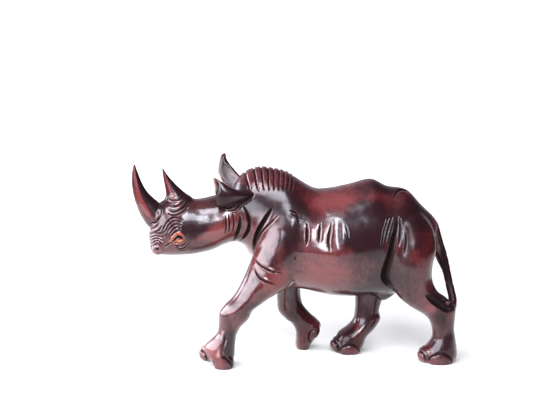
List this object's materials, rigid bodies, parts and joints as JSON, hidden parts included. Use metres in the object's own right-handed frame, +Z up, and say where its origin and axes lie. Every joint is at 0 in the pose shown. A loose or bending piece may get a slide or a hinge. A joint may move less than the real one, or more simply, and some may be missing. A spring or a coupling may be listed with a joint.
{
  "type": "rhinoceros figurine",
  "caption": "Walking two-horned rhinoceros carved from one block of dark lacquered hardwood, standing on its own feet.",
  "frame": {"origin": "on the ground under the middle of the figure's box", "axes": "+X from the horns to the tail, +Y from the figure's left side to its right, +Z up"},
  "size_m": [0.2194, 0.0638, 0.1395],
  "materials": {
    "lacquered_wood": "dark red-brown hardwood with black stain in the cuts, under a clear gloss lacquer"
  },
  "bodies": {
    "root": {"rhinoceros": "lacquered_wood"}
  },
  "joints": []
}
